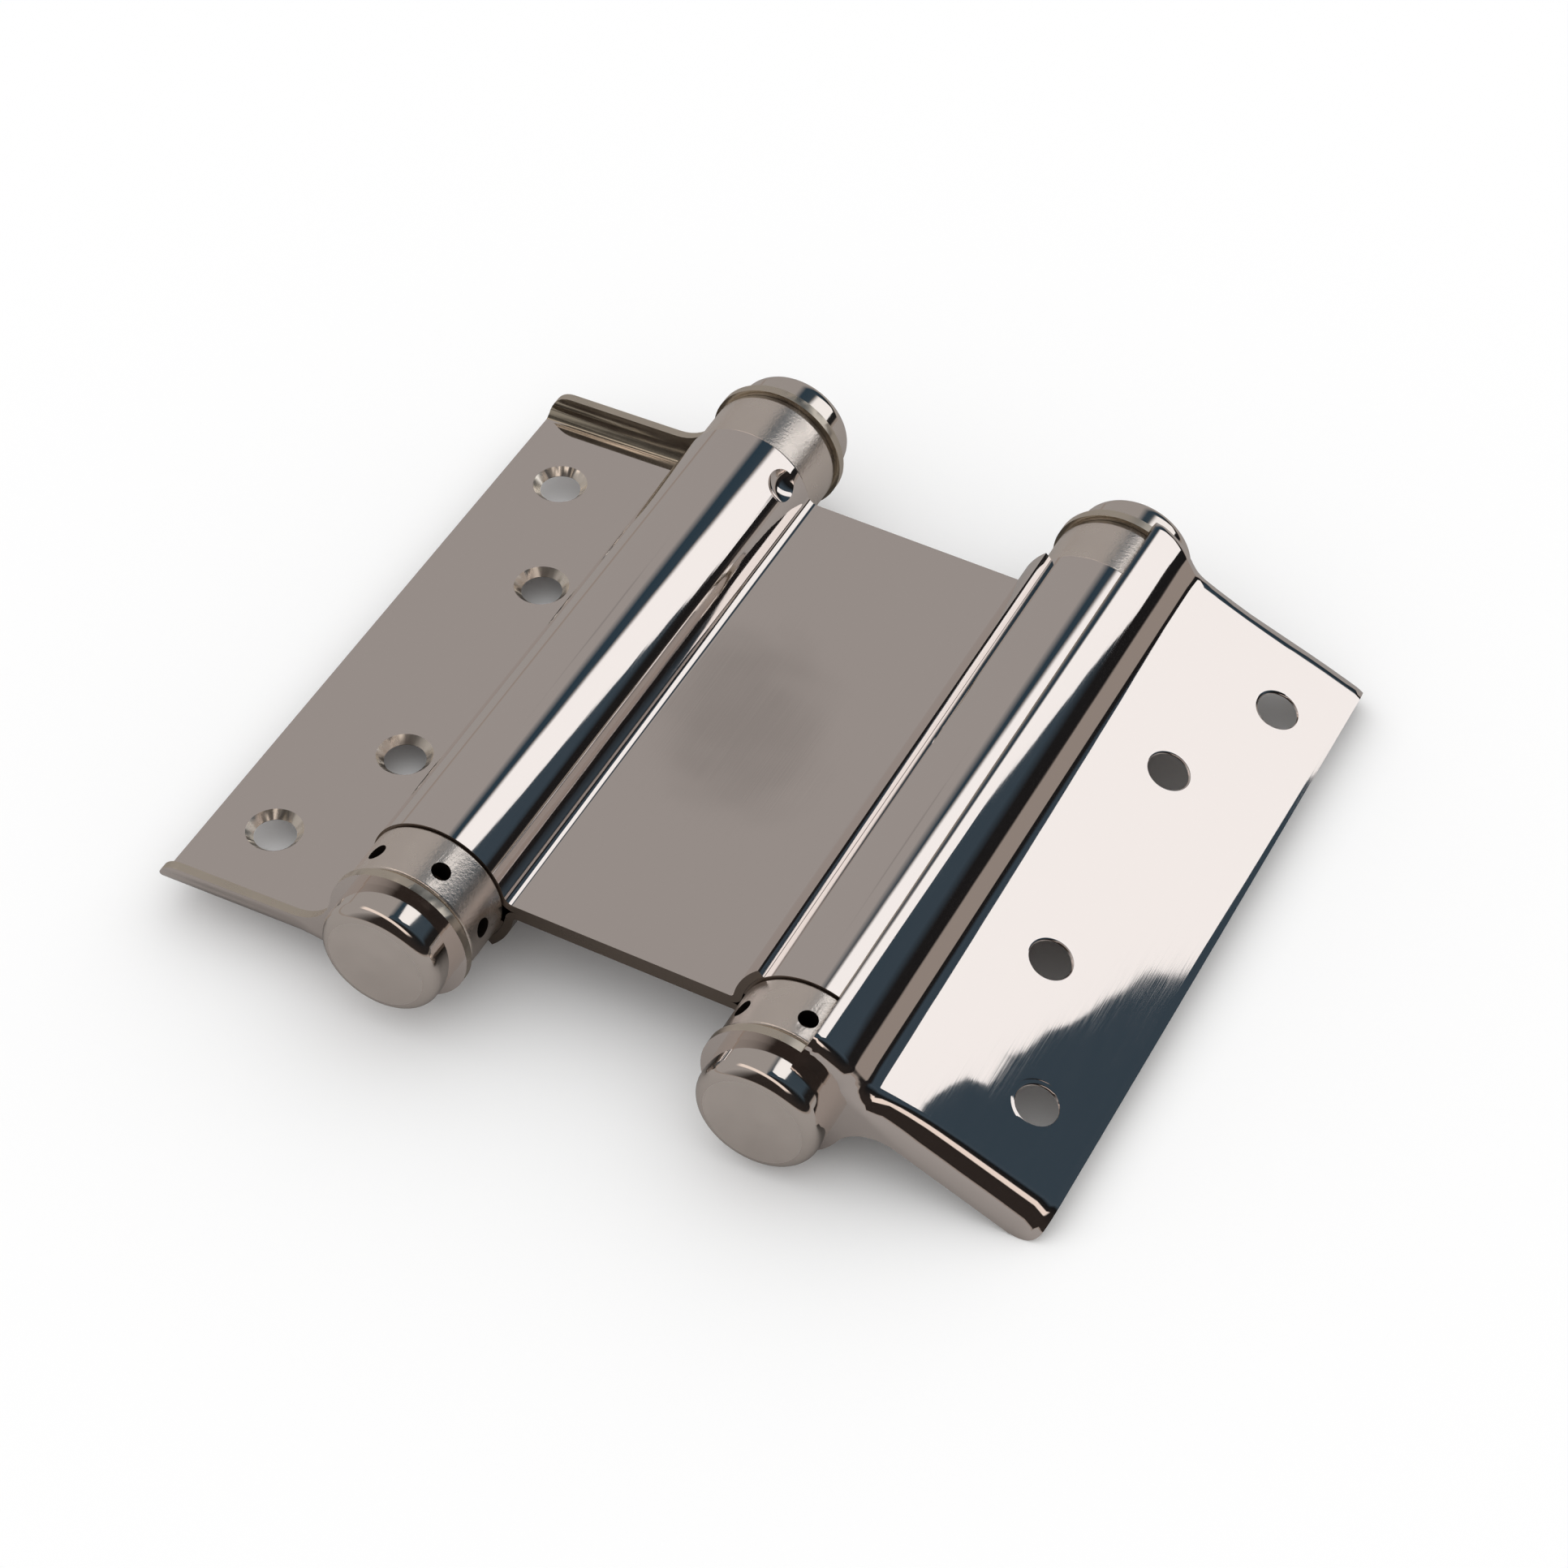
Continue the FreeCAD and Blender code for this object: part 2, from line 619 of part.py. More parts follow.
os.makedirs("parts", exist_ok=True)
for name, piece in pieces.items():
    piece.Shape.exportStep(f"parts/{name}.step")
for name, axis in (("left", at_left), ("right", at_right)):
    print("axis", name, (shift * lying * axis).Base)
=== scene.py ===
import json
import math
import bmesh
import bpy
from mathutils import Matrix, Vector

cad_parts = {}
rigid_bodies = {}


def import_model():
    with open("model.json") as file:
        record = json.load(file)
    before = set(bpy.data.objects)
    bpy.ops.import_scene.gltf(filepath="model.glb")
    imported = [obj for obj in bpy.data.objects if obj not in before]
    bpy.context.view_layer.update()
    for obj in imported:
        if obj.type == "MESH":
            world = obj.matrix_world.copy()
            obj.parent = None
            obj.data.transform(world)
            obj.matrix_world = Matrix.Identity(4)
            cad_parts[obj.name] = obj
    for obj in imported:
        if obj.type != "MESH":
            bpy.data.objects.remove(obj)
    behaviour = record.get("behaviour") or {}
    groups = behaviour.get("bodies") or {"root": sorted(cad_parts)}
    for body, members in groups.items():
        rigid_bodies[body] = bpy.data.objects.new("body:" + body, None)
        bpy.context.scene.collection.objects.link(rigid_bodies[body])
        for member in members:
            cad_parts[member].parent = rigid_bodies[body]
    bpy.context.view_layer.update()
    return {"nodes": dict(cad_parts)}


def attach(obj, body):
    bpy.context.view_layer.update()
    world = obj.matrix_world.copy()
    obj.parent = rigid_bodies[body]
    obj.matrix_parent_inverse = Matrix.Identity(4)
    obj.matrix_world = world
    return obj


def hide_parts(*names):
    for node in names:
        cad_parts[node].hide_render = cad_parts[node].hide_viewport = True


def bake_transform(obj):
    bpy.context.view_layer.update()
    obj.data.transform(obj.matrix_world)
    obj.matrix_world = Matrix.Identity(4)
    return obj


for spare in list(bpy.data.objects):
    bpy.data.objects.remove(spare)

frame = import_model()
scene = bpy.context.scene
mm = 0.001
print("frame loaded")


# colours and nodes

def colour(hexCode):
    # sRGB hex to the linear values that the shaders use
    parts = [int(hexCode[i:i + 2], 16) / 255 for i in (1, 3, 5)]
    return [p / 12.92 if p <= 0.04045 else ((p + 0.055) / 1.055) ** 2.4 for p in parts] + [1.0]


def addNode(tree, kind, settings=None, inputs=None):
    # inputs: a socket name or number, with a value or the output socket that feeds it
    node = tree.nodes.new(kind)
    for name, value in (settings or {}).items():
        setattr(node, name, value)
    for name, value in (inputs or {}).items():
        if isinstance(value, bpy.types.NodeSocket):
            tree.links.new(value, node.inputs[name])
        else:
            node.inputs[name].default_value = value
    return node


def newMaterial(name):
    material = bpy.data.materials.new(name)
    material.use_nodes = True
    material.node_tree.nodes.clear()
    return material, material.node_tree


def ramp(tree, factor, stops):
    # stops: places from 0 to 1, each with its colour
    node = addNode(tree, "ShaderNodeValToRGB", inputs={"Fac": factor})
    while len(node.color_ramp.elements) < len(stops):
        node.color_ramp.elements.new(0.5)
    for element, (place, shade) in zip(node.color_ramp.elements, stops):
        element.position = place
        element.color = shade
    return node.outputs["Color"]


# mirror-polished stainless sheet: bought polished, so it mirrors the studio almost cleanly,
# with fine polishing lines along the barrels and a slow wave left by the press

polishedSheet = {
    "tint": "#F2EAE6",
    "roughness": 0.04,
    "lineWidth": 0.16,      # mm, coarser than the real polishing lines so that they show
    "lineLength": 14.0,     # mm
    "lineDepth": 0.0007,    # mm
    "waveSize": 12.0,       # mm from one shallow dent to the next
    "waveDepth": 0.03,      # mm
}


def polishedMaterial(name, values):
    material, tree = newMaterial(name)
    place = addNode(tree, "ShaderNodeTexCoord").outputs["Object"]
    lines = addNode(tree, "ShaderNodeMapping", inputs={
        "Vector": place,
        "Scale": (1000 / values["lineWidth"], 1000 / values["lineLength"], 1000 / values["lineWidth"])})
    grain = addNode(tree, "ShaderNodeTexNoise", inputs={
        "Vector": lines.outputs["Vector"], "Scale": 1.0, "Detail": 2.0, "Roughness": 0.6})
    wave = addNode(tree, "ShaderNodeTexNoise", inputs={
        "Vector": place, "Scale": 1000 / values["waveSize"], "Detail": 1.0, "Roughness": 0.4})
    waved = addNode(tree, "ShaderNodeBump", inputs={
        "Strength": 1.0, "Distance": values["waveDepth"] * mm, "Height": wave.outputs["Fac"]})
    lined = addNode(tree, "ShaderNodeBump", inputs={
        "Strength": 1.0, "Distance": values["lineDepth"] * mm, "Height": grain.outputs["Fac"],
        "Normal": waved.outputs["Normal"]})
    rough = addNode(tree, "ShaderNodeMapRange", inputs={
        "Value": grain.outputs["Fac"], "From Min": 0.35, "From Max": 0.75,
        "To Min": values["roughness"] * 0.7, "To Max": values["roughness"] * 1.8})
    shader = addNode(tree, "ShaderNodeBsdfPrincipled", inputs={
        "Base Color": colour(values["tint"]), "Metallic": 1.0,
        "Roughness": rough.outputs["Result"], "Normal": lined.outputs["Normal"]})
    addNode(tree, "ShaderNodeOutputMaterial", inputs={"Surface": shader.outputs["BSDF"]})
    return material


# grained metal: sheared edges, plated collars and wire, which only glow softly;
# each grain is its size in mm along X, Y and Z, and grainDepth is in mm too

shearedEdge = {
    "tint": "#DCD2C4",
    "roughness": 0.3,
    "grain": (0.3, 0.2, 0.3),       # torn by the punch across the sheet
    "grainDepth": 0.004,
}
countersink = {
    "tint": "#FFF7EC",
    "roughness": 0.26,
    "grain": (0.6, 0.6, 0.07),      # rings left by the cutter
    "grainDepth": 0.003,
}
flangeInside = {
    "tint": "#CFC6B4",              # the polishing wheel doesn't reach in here, so the mill's grey is left
    "roughness": 0.2,
    "grain": (0.5, 0.25, 0.5),
    "grainDepth": 0.012,
}
satinCollar = {
    "tint": "#F4EAE2",
    "roughness": 0.24,
    "grain": (0.4, 0.4, 0.4),       # coarser than the real blasting so that it shows
    "grainDepth": 0.034,
}
capSide = {
    "tint": "#F0E8E2",
    "roughness": 0.07,
    "grain": (0.5, 1.5, 0.5),       # buffed round the cup
    "grainDepth": 0.0008,
}
capFace = {
    "tint": "#F2EAE4",
    "roughness": 0.36,
    "grain": (0.25, 0.25, 0.25),    # fine shot marks on the end of the cup
    "grainDepth": 0.009,
}
paintedHoleShade = {
    "tint": "#3B332E",              # painted shade: the dark inside of the deep hole is painted into its colour
    "roughness": 0.5,
    "grain": (0.3, 0.3, 0.3),
    "grainDepth": 0.002,
}
webEndShade = {
    "tint": "#857A71",              # painted shade: the dark and light bands that the thin ends mirror, painted in as one dark colour
    "roughness": 0.3,
    "grain": (0.3, 0.2, 0.3),
    "grainDepth": 0.003,
}
springWire = {
    "tint": "#B9B4AE",
    "roughness": 0.25,
    "grain": (0.3, 0.3, 0.3),
    "grainDepth": 0.002,
}


def grainedMaterial(name, values, patchSize=3.0):
    # patchSize: mm from one duller patch to the next
    material, tree = newMaterial(name)
    place = addNode(tree, "ShaderNodeTexCoord").outputs["Object"]
    stretched = addNode(tree, "ShaderNodeMapping", inputs={
        "Vector": place, "Scale": [1000 / size for size in values["grain"]]})
    grain = addNode(tree, "ShaderNodeTexNoise", inputs={
        "Vector": stretched.outputs["Vector"], "Scale": 1.0, "Detail": 3.0, "Roughness": 0.7})
    patch = addNode(tree, "ShaderNodeTexNoise", inputs={
        "Vector": place, "Scale": 1000 / patchSize, "Detail": 2.0})
    bump = addNode(tree, "ShaderNodeBump", inputs={
        "Strength": 1.0, "Distance": values["grainDepth"] * mm, "Height": grain.outputs["Fac"]})
    rough = addNode(tree, "ShaderNodeMapRange", inputs={
        "Value": patch.outputs["Fac"], "From Min": 0.3, "From Max": 0.7,
        "To Min": values["roughness"] * 0.85, "To Max": values["roughness"] * 1.2})
    shader = addNode(tree, "ShaderNodeBsdfPrincipled", inputs={
        "Base Color": colour(values["tint"]), "Metallic": 1.0,
        "Roughness": rough.outputs["Result"], "Normal": bump.outputs["Normal"]})
    addNode(tree, "ShaderNodeOutputMaterial", inputs={"Surface": shader.outputs["BSDF"]})
    return material


polishedSteel = polishedMaterial("polished_stainless_sheet", polishedSheet)
edgeSteel = grainedMaterial("sheared_stainless_edge", shearedEdge)
sinkSteel = grainedMaterial("countersunk_stainless", countersink)
insideSteel = grainedMaterial("unpolished_flange_inside", flangeInside)
satinNickel = grainedMaterial("satin_nickel_collar", satinCollar)
buffedSteel = grainedMaterial("buffed_cap_side", capSide)
blastedSteel = grainedMaterial("blasted_cap_end", capFace)
springSteel = grainedMaterial("drawn_spring_wire", springWire)
# the drilled holes' dark colour is painted shade
holeShadeSteel = grainedMaterial("drilled_hole_painted_shade", paintedHoleShade)
# the web ends' dark colour is painted shade
webEndShadeSteel = grainedMaterial("web_end_painted_shade", webEndShade)

# each mesh's materials, and the names of their places in it
sheetFinish = [polishedSteel, edgeSteel, sinkSteel, insideSteel]
webFinish = [polishedSteel, webEndShadeSteel]
polishedFace, edgeFace, sinkFace, insideFace = range(4)
collarFinish = [satinNickel, holeShadeSteel]
holeFace = 1
capFinish = [buffedSteel, blastedSteel]
capSideFace, capEndFace = range(2)

# these pieces keep the frame's own meshes
innerFinish = {"spindle": satinNickel, "washer": satinNickel}
for name in frame["nodes"]:
    for start, material in innerFinish.items():
        if name.startswith(start):
            for slot in bpy.data.objects[name].material_slots:
                slot.material = material
print("materials made")


# where the pieces lie, in millimetres and degrees: each is drawn about its own hinge axis,
# which runs along Y, and is turned and moved only when it is finished

hinge = {
    "leftAxis": (-25.182, 0.0, 11.8),
    "rightAxis": (24.660, 0.0, 9.4),
    "webMiddle": (-0.261, 0.0, 10.6),
    "lean": 2.757,              # the right axis lies lower than the left one
    "leftLeafTurn": 179.443,    # clock angles seen from the near end, from +X towards +Z
    "rightLeafTurn": -21.557,
}


def placedAt(axis, clock):
    return Matrix.Translation(Vector(axis) * mm) @ Matrix.Rotation(math.radians(-clock), 4, "Y")


# outlines and solids

def startOutline(shape, x, z, y=0.0):
    return bmesh.ops.create_vert(shape, co=(x, y, z))["vert"][0]


def cornersOf(made):
    return [item for item in made if isinstance(item, bmesh.types.BMVert)]


def lineTo(shape, corner, x, z):
    end = bmesh.ops.extrude_vert_indiv(shape, verts=[corner])["verts"][0]
    end.co = (x, corner.co.y, z)
    return end


def arcBy(shape, corner, centre, degrees, steps):
    # positive angles turn X towards Z, anticlockwise when seen from the near end
    made = bmesh.ops.spin(shape, geom=[corner], cent=(centre[0], corner.co.y, centre[1]), axis=(0, -1, 0),
                          angle=math.radians(degrees), steps=steps, use_duplicate=False)
    return cornersOf(made["geom_last"])[0]


def polar(radius, degrees, centre=(0.0, 0.0)):
    angle = math.radians(degrees)
    return (centre[0] + radius * math.cos(angle), centre[1] + radius * math.sin(angle))


def clockOf(point, centre):
    return math.degrees(math.atan2(point[1] - centre[1], point[0] - centre[0]))


def spinRound(shape, steps):
    bmesh.ops.spin(shape, geom=shape.verts[:] + shape.edges[:], cent=(0, 0, 0), axis=(0, 0, 1),
                   angle=math.tau, steps=steps, use_merge=True)
    bmesh.ops.remove_doubles(shape, verts=shape.verts, dist=1e-5)


def layAlongY(shape, way=1):
    # what was spun round Z comes to lie along the hinge axes; with -1 it faces the near end
    turn = Matrix.Rotation(math.radians(-90 * way), 3, "X")
    bmesh.ops.rotate(shape, cent=(0, 0, 0), matrix=turn, verts=shape.verts)


def turnedShape(profile, steps, axis="Y"):
    # a closed profile of radius and distance along the axis, turned all the way round
    shape = bmesh.new()
    first = corner = startOutline(shape, *profile[0])
    for radius, along in profile[1:]:
        corner = lineTo(shape, corner, radius, along)
    if profile[0][0] > 0:
        shape.edges.new((corner, first))
    spinRound(shape, steps)
    if axis == "Y":
        layAlongY(shape)
    bmesh.ops.recalc_face_normals(shape, faces=shape.faces)
    return shape


def asObject(shape, name, materials=()):
    mesh = bpy.data.meshes.new(name)
    shape.to_mesh(mesh)
    shape.free()
    for material in materials:
        mesh.materials.append(material)
    mesh.shade_smooth()
    piece = bpy.data.objects.new(name, mesh)
    scene.collection.objects.link(piece)
    return piece


def addModifiers(piece, steps):
    for number, (kind, settings) in enumerate(steps):
        modifier = piece.modifiers.new(f"{kind}{number}", kind)
        for name, value in settings.items():
            setattr(modifier, name, value)


def appliedMesh(piece):
    graph = bpy.context.evaluated_depsgraph_get()
    return bpy.data.meshes.new_from_object(piece.evaluated_get(graph), depsgraph=graph)


def finishedMesh(piece, flatOver=60.0, levelFrom=0.99999):
    # faces over flatOver, in square millimetres, and those that lie level are shaded flat, the rest smooth
    mesh = appliedMesh(piece)
    mesh.polygons.foreach_set("use_smooth", [
        face.area < flatOver and abs(face.normal.z) < levelFrom for face in mesh.polygons])
    shaded = bpy.data.objects.new(piece.name, mesh)
    scene.collection.objects.link(shaded)
    addModifiers(shaded, [("WEIGHTED_NORMAL", {"weight": 80})])
    finished = appliedMesh(shaded)
    discard(shaded)
    return finished


def discard(*tools):
    for tool in tools:
        mesh = tool.data
        bpy.data.objects.remove(tool)
        bpy.data.meshes.remove(mesh)


def place(mesh, name, matrix, body, slotName, *nodes):
    # the mesh is drawn in millimetres: it is scaled and moved here, and the object stays at the origin
    placed = mesh.copy()
    placed.transform(matrix @ Matrix.Scale(mm, 4))
    piece = bpy.data.objects.new(name, placed)
    scene.collection.objects.link(piece)
    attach(piece, body)
    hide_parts(*nodes)
    return piece


smoothEdges = {"limit_method": "ANGLE", "angle_limit": math.radians(35), "segments": 3, "profile": 0.5,
               "use_clamp_overlap": True, "harden_normals": False}


# leaf: one pressed sheet, with a cover that curls over the barrel, a plate, and a bent-down
# flange and spindle ring at each end

leafShape = {
    "height": 100.0,            # over the outer faces of the rings
    "width": 34.5,              # hinge axis to the outer edge
    "sheet": 1.2,
    "level": 8.2,               # hinge axis to the outer face of the plate
    "flangeEdge": 3.7,          # hinge axis to the edge of the flanges
    "flangeCorner": 3.0,
    "curlCentre": (1.413, 7.671),
    "curlRadius": 4.0,
    "curlFrom": 103.0,          # degrees
    "curlTo": 79.6,
    "coverTo": 57.0,
    "valley": (10.076, 11.7),   # centre of the valley's round
    "valleyFrom": (8.169, 8.765),
    "bend": 4.2,                # outer radius between plate and flange
    # the same bend is tighter towards the cover: up to each distance across, that share of it
    "bendShares": [(7.0, 0.45), (7.6, 0.52), (12.0, 0.6), (14.5, 0.75), (17.0, 0.9), (99.0, 1.0)],
    # where the sheet is divided, across and along: more often where it falls away
    "plateSteps": [12.0, 14.5, 17.0, 20.0, 23.0, 26.0, 29.0, 32.0, 33.5, 34.0, 34.5],
    "lengthSteps": [-50.0, -45.0, -42.0, -38.0, -33.0, -27.0, -20.0, -10.0, 0.0],
    "flatPlateSteps": [12.0, 14.5, 34.5],
    "flatLengthSteps": [-50.0, 0.0],
    "ringRadius": 9.4,
    "ringSweep": 263.0,         # degrees of the ring that stand free of plate and flange
    "ringFillet": 6.0,
    "bore": 3.5,
    "holeRadius": 2.7,
    "sinkRadius": 3.65,
    "sinkDepth": 0.95,
    # the rim that the punch drew in at the outer face: out from the hole, and up from the face
    "holeRim": [(0.03, -0.22), (0.12, -0.08), (0.3, 0.0), (0.7, 0.03)],
    "holes": [(26.3, 36.3), (18.7, 17.6)],   # across the leaf, and to each side of its middle
    "edgeRound": 0.2,
    "levelSlack": 0.004,        # how far off its level the inner face may come out where a bend starts
    "insideFrom": 0.15,         # faces of a flange that lean inwards more than this weren't polished
    "leftFall": None,           # the left leaf is flat
    "rightFall": {
        "from": 24.5,           # hinge axis to where the plate starts to fall away
        "turn": 0.27,           # how much nearer that is for each mm towards the near end
        "slope": 0.0655,        # what the slope grows to
        "over": 9.0,            # and over what distance
        "edgeFrom": 33.5,       # hinge axis to where the shears rolled the edge over
        "edgeCurve": 0.12,
    },
}


def fallAt(fall, across, along):
    # the press left the right plate a little hollow: it falls away to its outer edge, most at the near end
    if not fall:
        return 0.0
    past = max(0.0, across - fall["from"] - fall["turn"] * min(along, 0.0))
    bent = min(past, fall["over"])
    rolled = max(0.0, across - fall["edgeFrom"])
    return fall["slope"] * (bent ** 2 / 2 / fall["over"] + past - bent) + fall["edgeCurve"] * rolled ** 2


def leafSheet(values, fall):
    shape = bmesh.new()
    corner = startOutline(shape, *polar(values["curlRadius"], values["curlFrom"], values["curlCentre"]),
                          y=-values["height"] / 2)
    first = corner
    corner = arcBy(shape, corner, values["curlCentre"], values["curlTo"] - values["curlFrom"], 5)
    corner = arcBy(shape, corner, (0, 0), values["coverTo"] - values["curlTo"], 8)
    below = Vector((values["valleyFrom"][0], values["valleyFrom"][1]))
    top = Vector((corner.co.x, corner.co.z))
    for share in (0.33, 0.67, 1.0):
        corner = lineTo(shape, corner, *top.lerp(below, share))
    corner = arcBy(shape, corner, values["valley"], 90 - values["coverTo"], 6)
    for across in values["plateSteps" if fall else "flatPlateSteps"]:
        corner = lineTo(shape, corner, across, values["level"])
    folds = row = shape.edges[:]
    lengths = values["lengthSteps" if fall else "flatLengthSteps"]
    for start, end in zip(lengths, lengths[1:]):
        made = bmesh.ops.extrude_edge_only(shape, edges=row)["geom"]
        bmesh.ops.translate(shape, vec=(0, end - start, 0), verts=cornersOf(made))
        row = [e for e in made if isinstance(e, bmesh.types.BMEdge)
               and abs(e.verts[0].co.y - e.verts[1].co.y) < 1e-6]

    # the near end wall, which the mirror doubles: down the flange, along its edge and round the ring
    foot, fillet, ring = values["flangeEdge"], values["ringFillet"], values["ringRadius"]
    filletCentre = (math.sqrt((ring + fillet) ** 2 - (foot - fillet) ** 2), foot - fillet)
    leanOf = clockOf(filletCentre, (0, 0))
    before = set(shape.edges)
    corner = lineTo(shape, corner, values["width"], foot)
    corner = lineTo(shape, corner, filletCentre[0], foot)
    corner = arcBy(shape, corner, filletCentre, leanOf + 180 - 90, 10)
    corner = arcBy(shape, corner, (0, 0), -values["ringSweep"], 60)
    closing = [e for e in shape.edges if e not in before]
    closing.append(shape.edges.new((corner, first)))
    bmesh.ops.edgeloop_fill(shape, edges=folds + closing)
    everything = shape.verts[:] + shape.edges[:] + shape.faces[:]
    bmesh.ops.mirror(shape, geom=everything, axis="Y", merge_dist=1e-4)
    bmesh.ops.remove_doubles(shape, verts=shape.verts, dist=1e-4)
    bmesh.ops.recalc_face_normals(shape, faces=shape.faces)
    widest = max((f for f in shape.faces if abs(f.normal.z) > 0.9), key=lambda f: f.calc_area())
    if widest.normal.z < 0:
        bmesh.ops.reverse_faces(shape, faces=shape.faces)
    weight = shape.edges.layers.float.new("bevel_weight_edge")
    for edge in shape.edges:
        ends = [v.co for v in edge.verts]
        if len(edge.link_faces) == 2 and all(abs(abs(c.y) - values["height"] / 2) < 1e-3 for c in ends):
            across = (ends[0].x + ends[1].x) / 2
            edge[weight] = next(share for limit, share in values["bendShares"] if across < limit)
    for corner in shape.verts:
        corner.co.z -= fallAt(fall, corner.co.x, corner.co.y)
    return shape


def screwCutter(values, fall, across, along):
    # from below the inner face: countersink, hole and rim
    inner, outer = values["level"] - values["sheet"], values["level"]
    hole, sink, sunk = values["holeRadius"], values["sinkRadius"], values["sinkDepth"]
    rim = [(hole + out, outer + up) for out, up in values["holeRim"]]
    shape = turnedShape([(0, inner - 1), (sink, inner - 1), (sink, inner), (hole, inner + sunk)] + rim
                        + [(rim[-1][0], outer + 1), (0, outer + 1)], 64, axis="Z")
    # with some slack, since the faces' middles are compared
    for face in shape.faces:
        height = face.calc_center_median().z
        if inner - 0.1 < height < inner + sunk - 0.05:
            face.material_index = sinkFace
        else:
            face.material_index = edgeFace if height < outer - 0.3 else polishedFace
    bmesh.ops.translate(shape, vec=(across, along, -fallAt(fall, across, along)), verts=shape.verts)
    return asObject(shape, "screw_cutter", sheetFinish)


def boreCutter(values):
    bore, reach = values["bore"], values["height"] / 2 + 10
    shape = turnedShape([(0, -reach), (bore, -reach), (bore, reach), (0, reach)], 72)
    for face in shape.faces:
        face.material_index = edgeFace
    return asObject(shape, "bore_cutter", sheetFinish)


def cornerCutter(values, fall):
    # takes the square corners off both flanges
    width, foot, corner = values["width"], values["flangeEdge"], values["flangeCorner"]
    reach = values["height"] / 2 + 1
    shape = bmesh.new()
    first = end = startOutline(shape, width - corner, foot, y=-reach)
    end = arcBy(shape, end, (width - corner, foot + corner), 90, 8)
    end = lineTo(shape, end, width + 2, foot + corner)
    end = lineTo(shape, end, width + 2, foot - 2)
    end = lineTo(shape, end, width - corner, foot - 2)
    shape.edges.new((end, first))
    wall = bmesh.ops.edgeloop_fill(shape, edges=shape.edges[:])["faces"]
    made = bmesh.ops.extrude_face_region(shape, geom=wall)["geom"]
    bmesh.ops.translate(shape, vec=(0, 2 * reach, 0), verts=cornersOf(made))
    for end in shape.verts:
        end.co.z -= fallAt(fall, min(end.co.x, width), end.co.y)
    bmesh.ops.recalc_face_normals(shape, faces=shape.faces)
    for face in shape.faces:
        face.material_index = edgeFace
    return asObject(shape, "corner_cutter", sheetFinish)


def leafMesh(values, fall):
    blank = asObject(leafSheet(values, fall), "leaf_blank", sheetFinish)
    tools = [cornerCutter(values, fall), boreCutter(values)]
    tools += [screwCutter(values, fall, across, way * along)
              for across, along in values["holes"] for way in (-1, 1)]
    addModifiers(blank, [
        ("BEVEL", {"limit_method": "WEIGHT", "width": values["bend"], "segments": 8, "profile": 0.5,
                   "use_clamp_overlap": False}),
        ("SOLIDIFY", {"thickness": values["sheet"], "offset": -1.0, "use_even_offset": False,
                      "material_offset_rim": edgeFace}),
    ])
    pressed = bpy.data.objects.new("leaf_pressed", appliedMesh(blank))
    scene.collection.objects.link(pressed)
    # a few microns off its level would show on a mirror
    inner = values["level"] - values["sheet"]
    for vertex in pressed.data.vertices:
        if abs(vertex.co.z - inner) < values["levelSlack"]:
            vertex.co.z = inner
    steps = [("BOOLEAN", {"operation": "DIFFERENCE", "solver": "EXACT", "object": tool}) for tool in tools]
    steps.append(("BEVEL", {**smoothEdges, "width": values["edgeRound"]}))
    addModifiers(pressed, steps)
    mesh = finishedMesh(pressed)
    discard(blank, pressed, *tools)
    bendFrom = values["height"] / 2 - values["bend"]
    for face in mesh.polygons:
        inward = -face.normal.y if face.center.y > 0 else face.normal.y
        polished = face.material_index == polishedFace
        if polished and abs(face.center.y) > bendFrom and inward > values["insideFrom"]:
            face.material_index = insideFace
    return mesh


for side in ("left", "right"):
    sheetMesh = leafMesh(leafShape, leafShape[side + "Fall"])
    place(sheetMesh, side + "_leaf_sheet", placedAt(hinge[side + "Axis"], hinge[side + "LeafTurn"]),
          side + "_leaf", "polished_sheet", "leaf_" + side)
    print(side, "leaf made:", len(sheetMesh.polygons), "faces")


# web: two equal sheets back to back, each rolled into a barrel on one side and lipped on
# the other sheet's barrel; the second is the first one, half turned

webShape = {
    "height": 80.6,
    "sheet": 1.1,
    "halfSpacing": 24.95,       # web's middle to a hinge axis
    "barrelRadius": 9.16,
    "barrelTo": 345.0,          # degrees
    "lipFrom": 134.0,           # shorter than the source's lip: the photograph shows a narrow one
    "lipBend": 0.5,
    "seamGap": 0.03,
    "rootBend": 1.5,
    "stakeRadius": 4.0,         # ball that pressed the dimple
    "stakeDepth": 0.85,
    "stakeInset": 3.8,          # from the barrel's rim
    "stakeAngle": 42.0,
    "edgeRound": 0.1,
    "endWidth": 0.2,            # how far the painted shade reaches from the sheets' near and far ends
}


